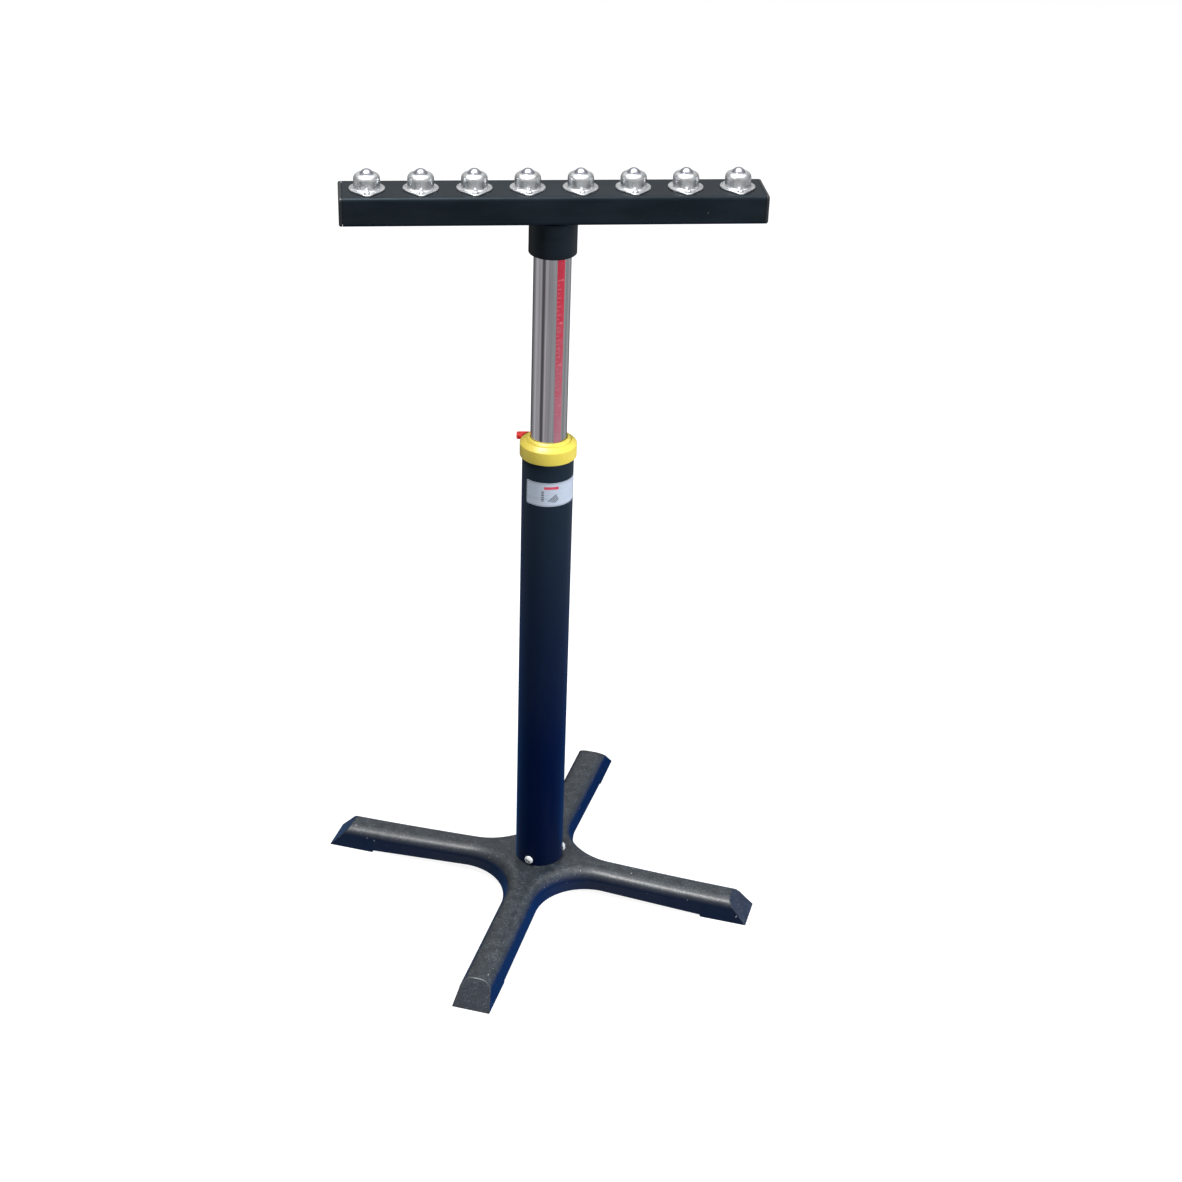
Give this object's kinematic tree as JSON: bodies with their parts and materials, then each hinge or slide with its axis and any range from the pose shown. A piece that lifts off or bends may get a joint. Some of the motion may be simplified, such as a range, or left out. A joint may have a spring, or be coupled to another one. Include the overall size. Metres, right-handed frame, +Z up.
{
  "type": "roller stand",
  "caption": "Height-adjustable roller stand: cast cross foot, column with a locking collar and lever, chromed mast, and a swivelling cross bar topped by a row of ball units.",
  "frame": {"origin": "on the floor, on the axis of the column, at the middle of the cross foot", "axes": "+Z up along the column; the cross bar lies along X at rest, and the side that faces the viewer in the picture is -Y"},
  "size_m": [0.5376, 0.5376, 0.9457],
  "materials": {
    "cast_grey": "painted sand-cast surface, satin",
    "column_paint": "semi-gloss navy paint",
    "head_paint": "semi-gloss black paint",
    "mast_chrome": "polished",
    "zinc": "bright zinc plate",
    "pressed_steel": "bright plated pressing",
    "ball_steel": "polished",
    "spring_steel": "plain",
    "collar_yellow": "satin moulded",
    "lever_red": "satin moulded",
    "guide_plastic": "matte",
    "cap_plastic": "matte"
  },
  "bodies": {
    "stand": {"cross_base": "cast_grey", "column": "column_paint", "column_bolt_1": "zinc", "column_bolt_2": "zinc", "column_bolt_3": "zinc", "top_guide": "guide_plastic", "collar": "collar_yellow", "lock_spring": "spring_steel"},
    "lever": {"lock_plate": "spring_steel", "lever_sleeve": "lever_red"},
    "slider": {"lower_guide": "guide_plastic"},
    "head": {"mast": "mast_chrome", "head_socket": "head_paint", "cross_bar": "head_paint", "end_cap_left": "cap_plastic", "end_cap_right": "cap_plastic", "ball_housing_1": "pressed_steel", "ball_housing_2": "pressed_steel", "ball_housing_3": "pressed_steel", "ball_housing_4": "pressed_steel", "ball_housing_5": "pressed_steel", "ball_housing_6": "pressed_steel", "ball_housing_7": "pressed_steel", "ball_housing_8": "pressed_steel", "ball_cup_1": "pressed_steel", "ball_cup_2": "pressed_steel", "ball_cup_3": "pressed_steel", "ball_cup_4": "pressed_steel", "ball_cup_5": "pressed_steel", "ball_cup_6": "pressed_steel", "ball_cup_7": "pressed_steel", "ball_cup_8": "pressed_steel", "flange_screw_front_1": "zinc", "flange_screw_back_1": "zinc", "flange_screw_front_2": "zinc", "flange_screw_back_2": "zinc", "flange_screw_front_3": "zinc", "flange_screw_back_3": "zinc", "flange_screw_front_4": "zinc", "flange_screw_back_4": "zinc", "flange_screw_front_5": "zinc", "flange_screw_back_5": "zinc", "flange_screw_front_6": "zinc", "flange_screw_back_6": "zinc", "flange_screw_front_7": "zinc", "flange_screw_back_7": "zinc", "flange_screw_front_8": "zinc", "flange_screw_back_8": "zinc"},
    "ball_1": {"load_ball_1": "ball_steel"},
    "ball_2": {"load_ball_2": "ball_steel"},
    "ball_3": {"load_ball_3": "ball_steel"},
    "ball_4": {"load_ball_4": "ball_steel"},
    "ball_5": {"load_ball_5": "ball_steel"},
    "ball_6": {"load_ball_6": "ball_steel"},
    "ball_7": {"load_ball_7": "ball_steel"},
    "ball_8": {"load_ball_8": "ball_steel"}
  },
  "joints": [
    {"name": "lock_lever", "type": "hinge", "parent": "stand", "child": "lever", "pos_m": [0.02531, -0.00311, 0.6208], "axis": [0.1219, 0.9925, 0], "range_deg": [0, 2], "stiffness_Nm_per_rad": 1, "springref_deg": -5.73, "deforming": ["lock_spring"]},
    {"name": "mast_lift", "type": "slide", "parent": "stand", "child": "slider", "axis": [0, 0, 1], "range_m": [-0.219, 0.203]},
    {"name": "head_swivel", "type": "hinge", "parent": "slider", "child": "head", "pos_m": [0, 0, 0.285], "axis": [0, 0, 1], "continuous": true},
    {"name": "ball_roll_1", "type": "hinge", "parent": "head", "child": "ball_1", "pos_m": [-0.2002, 0, 0.93776], "axis": [1, 0, 0], "continuous": true},
    {"name": "ball_roll_2", "type": "hinge", "parent": "head", "child": "ball_2", "pos_m": [-0.143, 0, 0.93776], "axis": [1, 0, 0], "continuous": true},
    {"name": "ball_roll_3", "type": "hinge", "parent": "head", "child": "ball_3", "pos_m": [-0.0858, 0, 0.93776], "axis": [1, 0, 0], "continuous": true},
    {"name": "ball_roll_4", "type": "hinge", "parent": "head", "child": "ball_4", "pos_m": [-0.0286, 0, 0.93776], "axis": [1, 0, 0], "continuous": true},
    {"name": "ball_roll_5", "type": "hinge", "parent": "head", "child": "ball_5", "pos_m": [0.0286, 0, 0.93776], "axis": [1, 0, 0], "continuous": true},
    {"name": "ball_roll_6", "type": "hinge", "parent": "head", "child": "ball_6", "pos_m": [0.0858, 0, 0.93776], "axis": [1, 0, 0], "continuous": true},
    {"name": "ball_roll_7", "type": "hinge", "parent": "head", "child": "ball_7", "pos_m": [0.143, 0, 0.93776], "axis": [1, 0, 0], "continuous": true},
    {"name": "ball_roll_8", "type": "hinge", "parent": "head", "child": "ball_8", "pos_m": [0.2002, 0, 0.93776], "axis": [1, 0, 0], "continuous": true}
  ]
}
